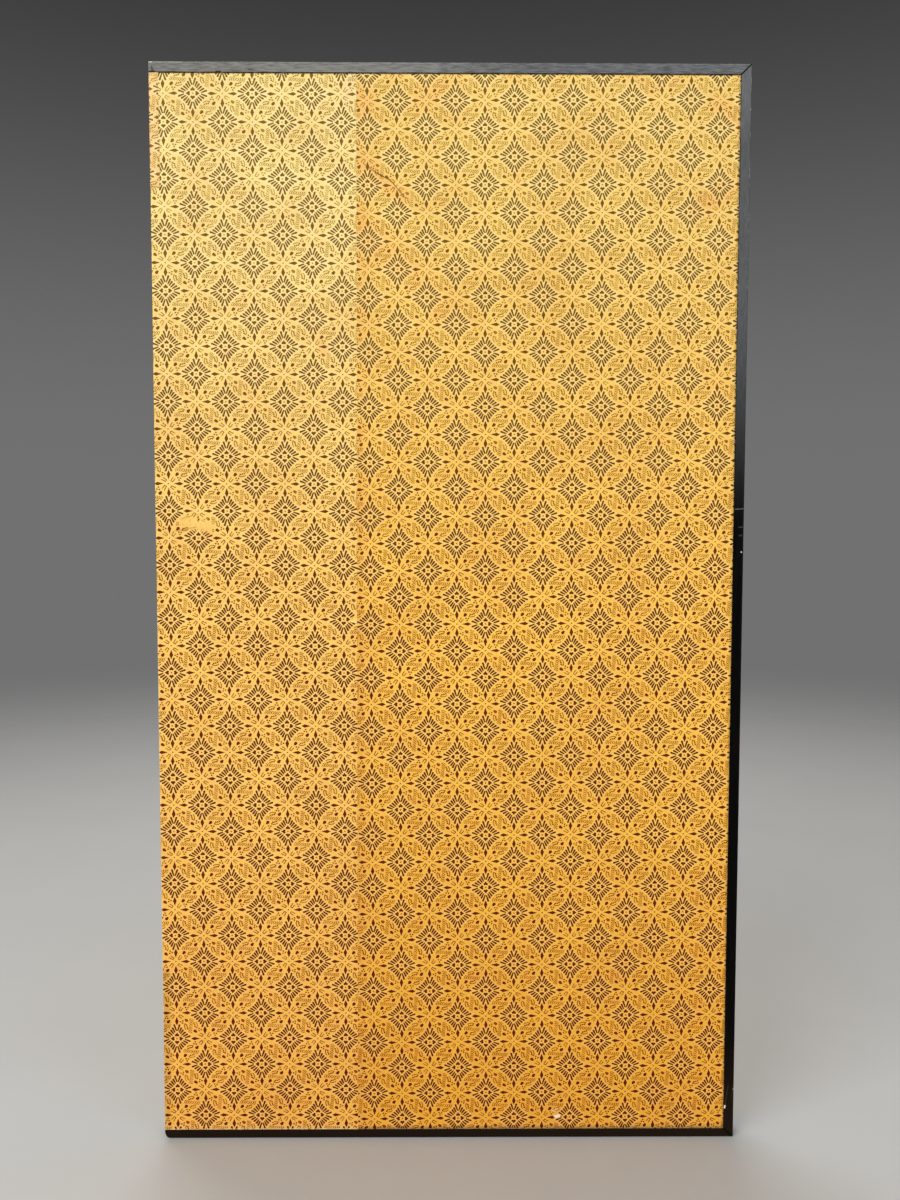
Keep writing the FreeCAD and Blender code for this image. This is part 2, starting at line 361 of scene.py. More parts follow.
def makeRingPrint():
    # each form is a signed distance, and the ink is where the least of them is below zero
    place, = openGroup("ringPrint", Place=None)
    x, y, _ = parts(place)
    # turn by 45 degrees, fold to the nearest flower, turn back
    u, v = (x + y) * 0.5, (x - y) * 0.5
    u = u - maths("ROUND", u)
    v = v - maths("ROUND", v)
    sideways = u + v
    across, up = abs(sideways), abs(u - v)
    quarter = joined(across, up)
    far, side = most(across, up), least(across, up)
    eighth = joined(far, side)

    # six strokes, flaring outwards
    dark = nearestLine(quarter, ringPrint["strokes"], ringPrint["strokeFlare"]) - ringPrint["strokeInner"]

    # heart: straight flanks to its tip, round lobes at its notch
    flank = ((far - ringPrint["heartTip"]) * 0.7 + side) * 0.82
    centre, radius = ringPrint["lobe"]
    dark = least(dark, most(flank, ringPrint["heartNotch"] - far), distance(eighth, centre) - radius)

    # kites on both axes: short side towards the flower, long tail towards the star
    half = ringPrint["kiteHalf"]
    for along, cross, kite in ((across, up, "kiteAcross"), (up, across, "kiteUp")):
        inner, wide, outer = ringPrint[kite]
        rise = cross - (along - inner) * (half / (wide - inner))
        fall = cross - (outer - along) * (half / (outer - wide))
        dark = least(dark, most(rise, fall) * 0.93)

    # lens frame: lower-left star at the origin, upper-right star at (1, 1), the same after half a turn
    backslash = maths("GREATER_THAN", abs(u), abs(v))
    swap = backslash * (up - across)
    a, b = 1.0 - (across + swap), up - swap
    lens = joined(a, b)
    turned = vectorMaths("SUBTRACT", (1.0, 1.0, 0.0), lens)
    seeds = ringPrint["seeds"]
    seed = least(*(distance(ends, centre) - radius for ends in (lens, turned) for centre, radius in seeds))
    # the leaning lens prints its seeds weaker, most of all on its left
    weaker = backslash * (maths("GREATER_THAN", sideways, 0.0) * -0.32 + 0.38)
    edge = ringPrint["edge"]
    seedInk = smooth(seed, edge, -edge) * (1.0 - weaker)

    centre, radius = ringPrint["boat"]
    middle, reach, rise = ringPrint["boatSpan"]
    boat = most(abs(distance(lens, centre) - radius), abs(a - middle) - reach, b - rise)
    dots = (distance(lens, dot) - ringPrint["dotRadius"] for dot in ringPrint["dots"])
    lines = least(nearestLine(lens, ringPrint["curls"]), boat, *dots)

    # ribbon across the lens, wider at both ends, filled with bent hatching
    middle, halfLength, halfWidth = a - 0.5, *ringPrint["ribbonHalf"]
    low = abs(middle * 0.13 + (b - 0.5))
    ends = abs((b - 0.5) * -0.4 + middle)
    ribbon = most(low - (middle * middle * 0.28 + halfWidth), ends - halfLength)
    bent = low * 0.9 + (b * -0.3 + a)
    wave = maths("SINE", bent * (2 * math.pi / ringPrint["hatch"]))
    ribbonInk = smooth(ribbon, 0.012, -0.01) * smooth(wave, -0.2, 0.58, *ringPrint["hatchInk"])

    # the fine drawing prints weaker here and there
    patchy = smooth(noise(place, 1.9, 2), 0.36, 0.58, 0.62, 1.0)
    fine = most(smooth(lines, 0.02, 0.007, 0.0, ringPrint["lineInk"]), ribbonInk) * patchy

    fromCentre = vectorMaths("LENGTH", quarter)
    centreInk = smooth(fromCentre, 0.038, 0.016, 0.0, ringPrint["centreInk"])
    starInk = smooth(distance(eighth, (1.0, 0.0, 0.0)), 0.034, 0.014, 0.0, ringPrint["starInk"])
    ink = most(smooth(dark, edge, -edge), seedInk, fine, centreInk, starInk)
    # the paper shows palest between a flower's strokes
    near = smooth(least(dark, seed), 0.06, 0.012) * smooth(fromCentre, 0.6, 0.46, 0.25, 1.0)
    inLens = smooth(distance(quarter, (1.0, 1.0, 0.0)), 1.01, 0.94)
    return closeGroup(Ink=ink, Near=near, Lens=inLens)


ringPrintGroup = makeRingPrint()
print("shared effects made")

# Printed back paper. Ground and ink tones at three heights: the ground darkens and turns more orange
# downwards, partly how the sheet has aged and partly painted light falling off from above; the ink's paler
# top is a painted sheen.

printedPaper = {
    "heights": (0.05, 0.85, 1.62),
    "sheets": {  # the pattern's half repeats per metre along x and z, and where they start
        "narrow": {
            "ground": [(255, 191, 82), (255, 210, 110), (248, 229, 156)],
            "ink": [(94, 31, 4), (93, 40, 4), (121, 92, 34)],
            "across": (21.88, 0.003, 6.682),
            "upward": (0.034, 23.405, -38.884),
        },
        "wide": {
            "ground": [(246, 179, 54), (255, 203, 88), (245, 213, 127)],
            "ink": [(94, 31, 4), (93, 40, 4), (119, 87, 25)],
            "across": (21.962, 0.088, 1.68),
            "upward": (-0.164, 23.441, -38.748),
        },
        "patch": {
            "ground": [(240, 182, 90), (244, 198, 112), (245, 215, 148)],
            "ink": [(116, 64, 26), (120, 74, 32), (126, 88, 40)],
            "inkShare": 0.9,
            "across": (21.9, 0.0, 10.519),
            "upward": (0.0, 23.42, -38.07),
        },
    },
    "offCentre": (0.014, -0.005),
    "rightCut": 0.38,  # where the right panel's sheets start in the pattern
    "wobble": 0.03,
    "lensTone": (254, 249, 240),
    "cloud": (222, 150, 66),
    "foxing": (234, 154, 76),
    "fibre": (255, 232, 178),
    "halo": [(255, 207, 124), (255, 219, 142), (255, 235, 178)],
    "haloShare": 0.42,
    "cutEdge": (255, 233, 178),
    "railShade": (74, 54, 34),
    "roughness": 0.72,
    "specular": 0.03,
}


def toneByHeight(z, tones):
    low, middle, high = printedPaper["heights"]
    lower = mixed(smooth(z, low - 0.15, middle + 0.1), tones[0], tones[1])
    return mixed(smooth(z, middle - 0.1, high + 0.1), lower, tones[2])


def makePrintedPaper(sheet, panel, marks=(), depth=0.019):
    given = printedPaper["sheets"][sheet]
    rough, specular = printedPaper["roughness"], printedPaper["specular"]
    material, _, place = newMaterial(f"{panel}_{sheet}_paper", rough, specular)
    if sheet == "patch":
        place = flatPlace(material)
    x, _, z = parts(place)
    # the right panel's paper is not a mirror image, so its pattern runs the other way
    hand, cutAt = (1.0, 0.0) if panel == "left" else (-1.0, printedPaper["rightCut"])
    lattice = []
    for axis, shift in zip(("across", "upward"), printedPaper["offCentre"]):
        alongX, alongZ, start = given[axis]
        along = vectorMaths("DOT_PRODUCT", place, (hand * alongX, 0.0, alongZ))
        lattice.append(along + (start + shift + cutAt))
    sway = vectorMaths("SUBTRACT", noise(place, 26, 2, output="Color"), (0.5, 0.5, 0.5))
    wobble = vectorMaths("SCALE", sway, scale=printedPaper["wobble"])
    printed = useGroup(ringPrintGroup, Place=vectorMaths("ADD", joined(*lattice), wobble))
    fibres = useGroup(paperFibres, Place=place)

    # ground tone by height: partly ageing, partly painted light falloff from above
    ground = mixed(printed["Lens"], toneByHeight(z, given["ground"]), printedPaper["lensTone"], "MULTIPLY")
    ground = mixed(smooth(fibres["Clouds"], 0.34, 0.7) * 0.24, ground, printedPaper["cloud"])
    foxed = smooth(noise(place, 21, 3, 0.6), 0.6, 0.76, 0.0, 0.3)
    ground = mixed(foxed, ground, printedPaper["foxing"])
    ground = mixed(fibres["Fibres"] * 0.1, ground, printedPaper["fibre"])

    # block-printed ink: patchy, thinner in small specks
    patchy = smooth(noise(place, 75, 4, 0.62), 0.3, 0.62, 0.94, 1.0)
    specks = smooth(noise(place, 1500, 2, 0.6), 0.3, 0.52, 0.88, given.get("inkShare", 1.0))
    kept = patchy * specks
    for mark in marks:
        tone, share, lifts = mark[6:9]
        mask = markMask(place, mark, depth)
        ground = mixed(mask * share, ground, tone)
        if lifts:
            kept = kept * (1.0 - mask * lifts)
    halo = printed["Near"] * kept * printedPaper["haloShare"]
    ground = mixed(halo, ground, toneByHeight(z, printedPaper["halo"]))
    # ink stains like a filter: the ground times a power of the ink's share of it
    ink = printed["Ink"] * kept
    # the ink's paler top is a painted sheen
    inkTone = toneByHeight(z, given["ink"])
    stain = vectorMaths("POWER", vectorMaths("DIVIDE", inkTone, ground), joined(ink, ink, ink))
    tone = vectorMaths("MULTIPLY", ground, stain)
    # the sheet's cut edges show pale along the stile and the bottom rail, and a painted shadow of the top
    # rail darkens the paper under it
    if sheet != "patch":
        inner, foot, head = screen["stileInnerX"], screen["paperBottom"], screen["paperTop"]
        byStile = smooth(x, inner - 0.0014, inner - 0.0006, 0.0, 0.35)
        byBottom = smooth(z, foot + 0.002, foot + 0.0008)
        broken = smooth(noise(place, 150, 4, 0.65), 0.38, 0.58, 0.05, 0.75)
        tone = mixed(most(byStile, byBottom) * broken, tone, printedPaper["cutEdge"])
        tone = mixed(smooth(z, head - 0.0022, head - 0.0006, 0.0, 0.8), tone, printedPaper["railShade"])
    return finished(material, tone, fibres["Height"], 0.00008, 0.6)


# Marks of age on the left panel's back. Each row gives x and z of a stroke's two ends, its half-width and
# its softness, all in millimetres, then its tone and share, how much print it lifts, and how ragged it is.

patchMarks = [(-465.2, 1700, -465.2, 1510, 1.2, 3.4, (240, 178, 134), 0.42, 0.0, 0.5)]
narrowMarks = [
    (-420, 1005, -382, 995, 7, 4, (252, 204, 116), 0.35, 0.95, 0.6),  # print rubbed away
    (-432.8, 989.8, -401.2, 996.1, 0.5, 1.4, (196, 140, 62), 0.55, 0.0, 0.6),
    (-424.7, 1008.7, -397.8, 1016.5, 0.5, 1.4, (200, 146, 66), 0.45, 0.0, 0.6),
    (-461, 270, -462, 15, 4, 10, (176, 132, 58), 0.42, 0.0, 0.3),  # olive tint
    # pale line down the fold arris: a painted highlight
    (-464.6, 870, -465.2, 15, 0.6, 0.8, (255, 236, 180), 0.75, 0.6, 0.3),
    (-149.8, 860, -150.6, 848, 1.6, 3.2, (254, 212, 108), 0.55, 0.97, 0.7),  # scuff beside the seam
    (-157.2, 847.6, -149.6, 848, 2, 3, (254, 212, 108), 0.6, 0.97, 0.5),
    # along the scuff's lower edge: a painted shadow line just under a painted highlight
    (-153.5, 843.4, -148.2, 844, 0.3, 1, (120, 68, 20), 0.6, 0.0, 0.3),
    (-156.8, 846.6, -149, 845.4, 0.3, 0.9, (255, 250, 186), 0.9, 1.0, 0.3),
    (-460, 17.5, -150, 17.5, 1, 8, (246, 198, 128), 0.34, 0.0, 0.4),  # pale foot
    (-156, 1688, -156, 1655, 4, 14, (238, 216, 170), 0.35, 0.0, 0.5),
]
wideMarks = [
    (-136, 1656, -132, 1642, 3, 24, (244, 184, 110), 0.4, 0.0, 0.6),  # old paste
    (-133, 1564, -128, 1552, 3, 22, (242, 176, 98), 0.4, 0.0, 0.6),
    (-141, 1480, -138, 1460, 2, 22, (244, 172, 82), 0.34, 0.0, 0.6),
    (-46, 1652, -24, 1676, 4, 28, (248, 188, 106), 0.4, 0.0, 0.6),
    (-144.5, 1150, -147, 20, 2, 9.5, (212, 138, 44), 0.28, 0.0, 0.3),  # darker along the seam's right side
    (-140, 1690, -142, 20, 1, 34, (236, 168, 82), 0.22, 0.0, 0.5),
    (-127, 1449, -13, 1345, 2, 34, (246, 178, 92), 0.36, 0.0, 0.6),
    (415, 1648, 440, 1625, 2, 22, (246, 182, 104), 0.42, 0.0, 0.6),
    (385, 1488, 425, 1520, 3, 26, (240, 172, 96), 0.44, 0.0, 0.6),
    (398, 1515, 378, 1500, 0.3, 1.2, (150, 92, 40), 0.35, 0.0, 0.5),
    (302, 1675, 345, 1690, 2, 22, (246, 184, 108), 0.3, 0.0, 0.6),
    (-123, 1540, -74, 1508, 1, 20, (244, 170, 84), 0.45, 0.0, 0.5),  # crease and the stain under it
    (-133, 1556, -113, 1542, 0.4, 1, (118, 62, 24), 0.75, 0.0, 0.4),
    (-113, 1542, -94, 1533, 0.6, 1, (104, 52, 20), 0.9, 0.0, 0.4),
    (-94, 1533, -70, 1505, 0.4, 1, (118, 62, 24), 0.75, 0.0, 0.4),
    (-150, 16.5, 445, 16.5, 0.8, 6, (240, 188, 112), 0.28, 0.0, 0.4),  # pale foot
    (173.5, 35, 179, 36, 1.6, 2.6, (255, 244, 214), 0.95, 1.0, 0.4),  # chipped spot
    (167.6, 42, 175.7, 47.9, 0.8, 1.6, (255, 232, 170), 0.55, 0.6, 0.6),
]

# Lacquered frame. Its upper parts carry a grey bloom, partly dust and partly a painted sheen of the light
# from above, and its arrises are worn.

lacquer = {
    "black": (2, 1, 1),
    "thin": (6, 5, 4),
    "brown": (34, 23, 15),
    "sheenAndDust": [(133, 132, 127), (126, 128, 131)],  # left and right
    "worn": (74, 54, 38),
    "wornAndHighlight": (172, 169, 162),
    "joint": (2, 2, 2),
    "roughness": 0.34,
    "specular": 0.07,
    "back": 0.0203,  # depth of the face that carries the marks
}

frameMarks = [  # rows as for the paper, without lifting
    (-459.6, 1701, -459, 1696, 0.7, 1.6, (30, 29, 28), 0.72, 0.5),  # split at the top rail's end
    (-463, 1694.5, -456.5, 1694.5, 0.8, 1.4, (26, 25, 24), 0.75, 0.5),
    (-361, 1694.8, -355, 1694.8, 0.8, 1, (20, 19, 18), 0.85, 0.5),
    (-310.5, 1697.8, -303, 1697.3, 0.4, 1, (28, 27, 26), 0.65, 0.5),
    (-464.5, 1709.2, -460, 1708.8, 0.8, 1.2, (208, 204, 196), 0.85, 0.5),
    # pale line along the top arris: a painted highlight
    (-456, 1708.8, -413, 1708.6, 0.3, 1, (176, 174, 168), 0.5, 0.9),
    (455.3, 86.8, 450.8, 56, 0.2, 1, (110, 96, 76), 0.2, 0.3),  # scratches and dots on the stile
    (450.3, 52.5, 449.8, 49.2, 0.7, 0.9, (246, 240, 226), 0.95, 0.3),
    (463.5, 86.7, 460.6, 64.8, 0.2, 1, (96, 90, 82), 0.15, 0.3),
    (463.7, 80.6, 463.8, 79.7, 0.5, 0.8, (190, 186, 178), 0.85, 0.2),
    (464.2, 1640.9, 464.5, 1640.1, 0.6, 0.8, (206, 206, 204), 0.9, 0.2),
    (450.4, 1025.2, 462.7, 1025.9, 0.3, 0.8, (110, 108, 104), 0.75, 0.2),
    (456.6, 996.8, 462.8, 997.1, 0.3, 0.8, (86, 84, 82), 0.7, 0.2),
    (457.4, 983.6, 461.2, 983.8, 1, 0.8, (60, 59, 58), 0.6, 0.2),
    (461, 957.7, 461.4, 957.3, 0.7, 0.8, (214, 214, 212), 0.85, 0.2),
]


def makeDustAndSheen():
    # grey bloom, partly dust and partly a painted sheen of the light from the upper left: none below the
    # middle, more towards the top and towards the top rail's left, in streaks
    place, stretch, inward, contrast = openGroup(
        "dustAndSheen", Place=None, Stretch=None, Inward=0.5, Contrast=1.0
    )
    x, _, z = parts(place)
    byHeight = smooth(z, 0.98, 1.4, 0.0, 0.46) + smooth(z, 1.58, 1.66, 0.0, 0.17)
    sideways = smooth(x, 0.08, -0.1, 1.0, 1.48) - smooth(x, -0.18, -0.36, 0.0, 0.2)
    along = vectorMaths("MULTIPLY", place, stretch)
    streaks = smooth(noise(along, 440, 4, 0.6), 0.34, 0.66, 0.66, 1.3)
    clouds = smooth(noise(along, 40, 3, 0.55), 0.34, 0.66, 0.95, 1.05)
    uneven = (streaks * clouds - 1.0) * contrast + 1.0
    # the outer arris is rubbed dark, less towards the top rail's left; against the paper it stays black, a
    # painted shade in the corner
    rubbed = most(smooth(inward, 0.0, 0.075, 0.34, 1.0), smooth(x, -0.08, -0.22))
    corner = smooth(inward, 0.985, 0.93, 0.08, 1.0)
    return closeGroup(Amount=clamped(byHeight * sideways * uneven * (rubbed * corner)))


def makeEdgeWear():
    # worn where the piece's own arris value is high and the noise allows
    place, arris, reach = openGroup("edgeWear", Place=None, Arris=0.0, Reach=0.5)
    broken = noise(place, 55, 5, 0.7)
    return closeGroup(Mask=smooth(arris * reach + broken * 0.9, 0.8, 0.98))


dustAndSheen = makeDustAndSheen()
edgeWear = makeEdgeWear()


def makeLacquer(name, stretch, contrast):
    material, shader, place = newMaterial(name, lacquer["roughness"], lacquer["specular"])
    worn = useGroup(edgeWear, Place=place, Arris=attributeValue(material, "arris"), Reach=0.4)["Mask"]
    inward = attributeValue(material, "inward")
    sheenAndDust = useGroup(dustAndSheen, Place=place, Stretch=stretch, Inward=inward, Contrast=contrast)["Amount"]
    x, _, z = parts(place)
    grain = noise(place, 120, 4, 0.6, stretch)
    base = mixed(smooth(grain, 0.35, 0.75), lacquer["black"], lacquer["thin"])
    base = mixed(smooth(z, 0.2, 0.0, 0.0, 0.85), base, lacquer["brown"])
    # grey bloom: partly dust, partly painted sheen
    base = mixed(sheenAndDust, base, mixed(smooth(x, -0.2, 0.25), *lacquer["sheenAndDust"]))
    # worn arrises turn pale grey towards the top: wear, with a painted highlight where the light falls from
    # above
    wornTone = mixed(smooth(z, 1.0, 1.5), lacquer["worn"], lacquer["wornAndHighlight"])
    base = mixed(worn * 0.6, base, wornTone)
    for mark in frameMarks:
        tone, share = mark[6:8]
        base = mixed(markMask(place, mark, lacquer["back"]) * share, base, tone)
    base = mixed(attributeValue(material, "joint"), base, lacquer["joint"])
    rough = grain * 0.16 + 0.24 + sheenAndDust * 0.4
    wire(clamped(rough + worn * 0.2), shader["Roughness"])
    fine = noise(place, 420, 4, 0.6, stretch)
    height = noise(place, 30, 3, 0.5, stretch) + (worn * -0.3 + fine * 0.25)
    return finished(material, base, height, 0.00025, 0.5)


print("paper and lacquer materials ready")

# Meshes from grids of points

def addObject(name, points, faces, material, uv=None, attributes=None):
    mesh = bpy.data.meshes.new(name)
    mesh.from_pydata(points.tolist(), [], faces)
    mesh.polygons.foreach_set("use_smooth", [True] * len(mesh.polygons))
    if uv is not None:
        layer = mesh.uv_layers.new(name="flat")
        corners = np.empty(len(mesh.loops), int)
        mesh.loops.foreach_get("vertex_index", corners)
        layer.data.foreach_set("uv", uv[corners].astype(np.float32).ravel())
    for label, values in (attributes or {}).items():
        attribute = mesh.attributes.new(label, "FLOAT", "POINT")
        attribute.data.foreach_set("value", values.astype(np.float32).ravel())
    mesh.materials.append(material)
    mesh.update()
    piece = bpy.data.objects.new(name, mesh)
    bpy.context.scene.collection.objects.link(piece)
    return piece


def gridFaces(rows, columns, closedAround=False, flip=False):
    # each grid cell becomes one four-sided face
    index = np.arange(rows * columns).reshape(rows, columns)
    if closedAround:
        index = np.concatenate([index, index[:, :1]], axis=1)
    corners = [index[:-1, :-1], index[:-1, 1:], index[1:, 1:], index[1:, :-1]]
    faces = np.stack(corners, axis=-1).reshape(-1, 4)
    return (faces[:, ::-1] if flip else faces).tolist()


def outward(piece):
    shape = bmesh.new()
    shape.from_mesh(piece.data)
    bmesh.ops.recalc_face_normals(shape, faces=shape.faces)
    shape.to_mesh(piece.data)
    shape.free()


def thicken(piece, thickness, offset):
    solid = piece.modifiers.new("thickness", "SOLIDIFY")
    solid.thickness = thickness
    solid.offset = offset


def step(values, low, high):
    # 0 below low, 1 above high, and a soft rise between
    share = np.clip((values - low) / (high - low), 0.0, 1.0)
    return share * share * (3.0 - 2.0 * share)


# Frame members: a rounded section carried from end to end, cut to a mitre or rounded off

frameWork = {
    "depth": (0.0003, 0.0203),
    "faces": {"top_rail": 0.0165, "bottom_rail": 0.014, "side_stile": 0.0165},
    "outerArris": 0.0024,
    "innerArris": 0.0009,
    "arcPoints": 9,
    "longRun": (0.004, 6),  # straight runs longer than this are divided into so many
    "endRound": {"top_rail": (0.0015, 0.0015), "bottom_rail": (0.0085, 0.0135)},  # along and up
    "endEase": 0.0007,
    "mitreEase": 0.00026,
    "easeTurns": (0.0, 30.0, 60.0),
    "stations": 150,
    "nearEnds": (0.0, 0.0007, 0.0014, 0.0022, 0.0036),  # close rings that hold the joint's dark line
    "darkLine": (0.0007, 0.0022),  # it fades between these distances from the joint
}


def memberSection(face):
    # closed loop of (inward, depth) points: four quarter arcs joined by straight runs
    front, back = frameWork["depth"]
    outer, inner, count = (frameWork[label] for label in ("outerArris", "innerArris", "arcPoints"))
    corners = [
        (outer, front + outer, outer, 180),
        (face - inner, front + inner, inner, 270),
        (face - inner, back - inner, inner, 0),
        (outer, back - outer, outer, 90),
    ]
    loop = []
    for centreU, centreD, radius, start in corners:
        turn = np.radians(start + np.linspace(0, 90, count))
        loop.append(np.stack([centreU + radius * np.cos(turn), centreD + radius * np.sin(turn)], axis=-1))
    points = np.concatenate(loop)
    worn = np.tile(np.sin(np.linspace(0, math.pi, count)) * 0.6 + 0.4, len(corners))
    # extra points along the straight runs, so that wear stays near the arrises
    following = np.roll(points, -1, axis=0)
    gaps = np.linalg.norm(following - points, axis=1)
    longRun, pieces = frameWork["longRun"]
    copies = np.where(gaps > longRun, pieces, 1)
    spread = np.concatenate([np.arange(n) / n for n in copies])[:, None]
    base = np.repeat(points, copies, axis=0)
    section = base + (np.repeat(following, copies, axis=0) - base) * spread
    return section, np.repeat(worn, copies) * (spread[:, 0] == 0)


def makeMember(panel, part, material):
    # the section is carried from end to end, and a point's inward distance says where it starts and ends
    face = frameWork["faces"][part]
    section, arris = memberSection(face)
    u, depth = section.T
    isStile = part == "side_stile"
    if isStile:
        startAt = u * frameWork["faces"]["bottom_rail"] / face
        endAt = screen["height"] - u
    else:
        reach, rise = frameWork["endRound"][part]
        startAt = screen["bandX"] + reach * (1 - np.sqrt(1 - np.clip(1 - u / rise, 0.0, 1.0) ** 2))
        endAt = screen["outerX"] - u * (frameWork["faces"]["side_stile"] / face)
    near = np.array(frameWork["nearEnds"])
    run = (endAt - startAt).mean()
    share = np.concatenate([near / run, np.linspace(0, 1, frameWork["stations"])[1:-1], 1 - near[::-1] / run])
    along = startAt + (endAt - startAt) * share[:, None]
    fromEnd = np.minimum(share, 1 - share) * run
    dark = (1 - step(fromEnd, *frameWork["darkLine"])) * ((share > 0.5) | isStile)
    # columns of a ring: inward, depth, along, arris wear and the joint's dark line
    columns = [np.broadcast_to(value, along.shape) for value in (u, depth, along, arris, dark[:, None])]
    grid = np.stack(columns, axis=-1)
    # ease both ends: the outermost rings shrink towards the section's middle
    middle = section.mean(axis=0)
    half = np.abs(section - middle).max(axis=0)
    for end, direction, isMitre in ((0, 1.0, isStile), (-1, -1.0, True)):
        ease = frameWork["mitreEase"] if isMitre else frameWork["endEase"]
        shrunk = []
        for turn in np.radians(frameWork["easeTurns"]):
            ring = grid[end].copy()
            ring[:, :2] = middle + (ring[:, :2] - middle) * (1 - ease * (1 - math.sin(turn)) / half)
            ring[:, 2] += direction * ease * (1 - math.cos(turn))
            ring[:, 3:] = (0.0, 1.0) if isMitre else (0.9, 0.0)
            shrunk.append(ring)
        grid[end][:, 2] += direction * ease
        grid = np.concatenate([shrunk, grid] if end == 0 else [grid, shrunk[::-1]])
    uu, dd, along, edgeWorn, joint = np.moveaxis(grid, -1, 0)
    y = dd * screen["sides"][panel]
    places = {
        "side_stile": (screen["outerX"] - uu, y, along),
        "top_rail": (along, y, screen["height"] - uu),
        "bottom_rail": (along, y, uu),
    }
    rows, columns = uu.shape
    faces = gridFaces(rows, columns, closedAround=True)
    faces.append(list(range(columns)))
    faces.append(list(range((rows - 1) * columns, rows * columns))[::-1])
    values = {"arris": edgeWorn, "joint": joint, "inward": uu / face}
    points = np.stack(places[part], axis=-1).reshape(-1, 3)
    piece = addObject(f"{panel}_{part}_lacquered", points, faces, material, attributes=values)
    outward(piece)
    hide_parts(f"{panel}_{part}")
    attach(piece, f"{panel}_panel")


lacquerAcross = makeLacquer("lacquer_across", (0.12, 1.0, 1.0), 1.0)
lacquerUp = makeLacquer("lacquer_up", (1.0, 1.0, 0.12), 0.4)
for panel in screen["sides"]:
    for part in frameWork["faces"]:
        makeMember(panel, part, lacquerUp if part == "side_stile" else lacquerAcross)
print("frame members built")

# Back papers: a narrow strip laps over a wide sheet, and both rise a little over what lies under them

backPapers = {
    "surface": 0.019,
    "thickness": 0.0003,
    "seamX": -0.14715,
    "seamLean": (0.0024, 1.05),  # the lap leans so far per metre, and stands at seamX at this height
    "lap": 0.0076,
    "lapRise": 0.0014,  # half the width over which the lap rises
    "lapPressed": (0.0024, 0.00024),  # how wide and how deep its edge is pasted down thin
    "foldEased": (0.0008, 0.00025),  # how wide and how deep the sheet is eased over the fold arris
    "tuck": 0.007,  # how far the wide sheet reaches under the narrow one
    "flangeEnd": (0.0149, 0.0157),  # where the rise over a band's flange falls off
    "nearEdge": (0.00015, 0.0004, 0.0008, 0.0013, 0.002),  # close columns that hold an edge's shape
    "nearFlange": (0.0145, 0.0149, 0.0153, 0.0157),
    "cockle": 0.00012,
    "calmEdge": 0.05,  # the cockles die out so far from the sheet's edges
    "cockleLengths": (0.21, 0.13, 0.083, 0.051),
    "cell": {"narrow": 0.0045, "wide": 0.0055},
    "endBand": 0.174,
    "slit": 0.0006,
}


def bandSpans():
    # the seven hinge bands, from the top one down
    top, bottom = screen["paperTop"], screen["paperBottom"]
    end, slit = backPapers["endBand"], backPapers["slit"]
    heights = np.array([end] + [(top - bottom - 2 * end) / 5] * 5 + [end])
    tops = top - np.concatenate([[0.0], np.cumsum(heights)[:-1]])
    return [(t - h + slit / 2, t - slit / 2) for t, h in zip(tops, heights)]


def cockled(x, z, seed):
    # slow waves of pasted paper, a sum of a few slanted sine waves
    rng = np.random.default_rng(seed)
    total = np.zeros_like(x)
    for length in backPapers["cockleLengths"]:
        angle, phase = rng.uniform(0, math.pi), rng.uniform(0, 2 * math.pi)
        total += np.sin(2 * math.pi * (x * math.cos(angle) + z * math.sin(angle)) / length + phase) * length
    return total / 0.3


def makeBackPaper(panel, sheet, material, seed):
    # a grid over x and z, whose depth rises over the lap and the bands' flanges and cockles between the edges
    side = screen["sides"][panel]
    seam, lap, rise = (backPapers[label] for label in ("seamX", "lap", "lapRise"))
    isNarrow = sheet == "narrow"
    left, right = (screen["edgeX"], seam) if isNarrow else (seam - backPapers["tuck"], screen["stileInnerX"])
    low, high = screen["paperBottom"], screen["paperTop"]
    cell = backPapers["cell"][sheet]
    xs = np.linspace(left, right, int((right - left) / cell))
    zs = np.linspace(low, high, int((high - low) / (cell * 1.4)))
    if isNarrow:
        near, flange = np.array(backPapers["nearEdge"]), np.array(backPapers["nearFlange"])
        lapColumns = seam - lap + np.linspace(-rise, rise, 5)
        xs = np.union1d(xs, np.concatenate([left + near, left + flange, lapColumns, right - near]))
        edges = np.array([z for span in bandSpans()[1:] for z in span])
        slit = backPapers["slit"]
        zs = np.union1d(zs, (edges[:, None] + np.array([-slit, 0.0, slit])).ravel())
        zs = zs[(zs >= low) & (zs <= high)]
    x, z = np.meshgrid(xs, zs)
    lean, level = backPapers["seamLean"]
    leaning = lean * (z - level) * step(x, left + 0.1, right) * isNarrow
    depth = np.full_like(x, backPapers["surface"])
    if isNarrow:
        depth += backPapers["thickness"] * step(x, seam - lap - rise, seam - lap + rise)
        flangeFrom, flangeTo = (screen["foldX"] + reach for reach in backPapers["flangeEnd"])
        for number, (bottom, top) in enumerate(bandSpans(), start=1):
            # the bands that turn onto this back lie under its paper, except the patch, which lies on top
            if (number % 2 == 1) == (panel == "left") and (panel, number) != ("left", 1):
                across = 1 - step(x, flangeFrom, flangeTo)
                upward = step(z, bottom - slit, bottom) * (1 - step(z, top, top + slit))
                depth += backPapers["thickness"] * across * upward
        width, drop = backPapers["foldEased"]
        depth -= drop * (1 - step(x, left, left + width)) ** 2
        width, drop = backPapers["lapPressed"]
        depth -= drop * step(x, right - width, right)
    calmEdge = backPapers["calmEdge"]
    calm = step(x, left, left + calmEdge) * (1 - step(x, right - calmEdge, right))
    calm *= step(z, low, low + calmEdge) * (1 - step(z, high - calmEdge, high))
    depth += backPapers["cockle"] * cockled(x, z, seed) * calm
    points = np.stack([x + leaning, side * depth, z], axis=-1).reshape(-1, 3)
    piece = addObject(f"{panel}_back_{sheet}_sheet", points, gridFaces(*x.shape, flip=side > 0), material)
    thicken(piece, backPapers["thickness"], -1.0)
    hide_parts(f"{panel}_back_paper_{sheet}")
    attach(piece, f"{panel}_panel")


